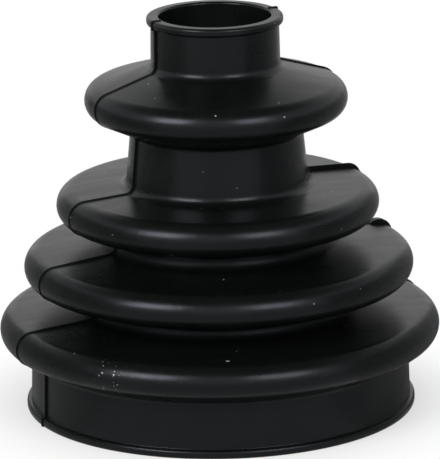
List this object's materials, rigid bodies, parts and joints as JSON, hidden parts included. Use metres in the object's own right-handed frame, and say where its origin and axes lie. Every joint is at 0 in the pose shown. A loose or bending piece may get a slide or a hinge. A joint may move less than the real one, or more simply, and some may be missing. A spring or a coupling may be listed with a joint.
{
  "type": "rubber bellows boot",
  "caption": "Stepped rubber bellows boot with rounded folds that widen from a small lipped collar to a large lipped collar, open at both ends.",
  "frame": {"origin": "on the boot's axis, in the plane of the large end's face, which the boot stands on", "axes": "+Z along the boot's axis from the large end to the small end; the mould's parting plane is the XZ plane, so its flash runs up the +X and -X sides"},
  "size_m": [0.0952, 0.0948, 0.086],
  "materials": {
    "boot_rubber": "satin moulded black rubber with a little dust"
  },
  "bodies": {
    "root": {"bellows_boot": "boot_rubber"}
  },
  "joints": []
}
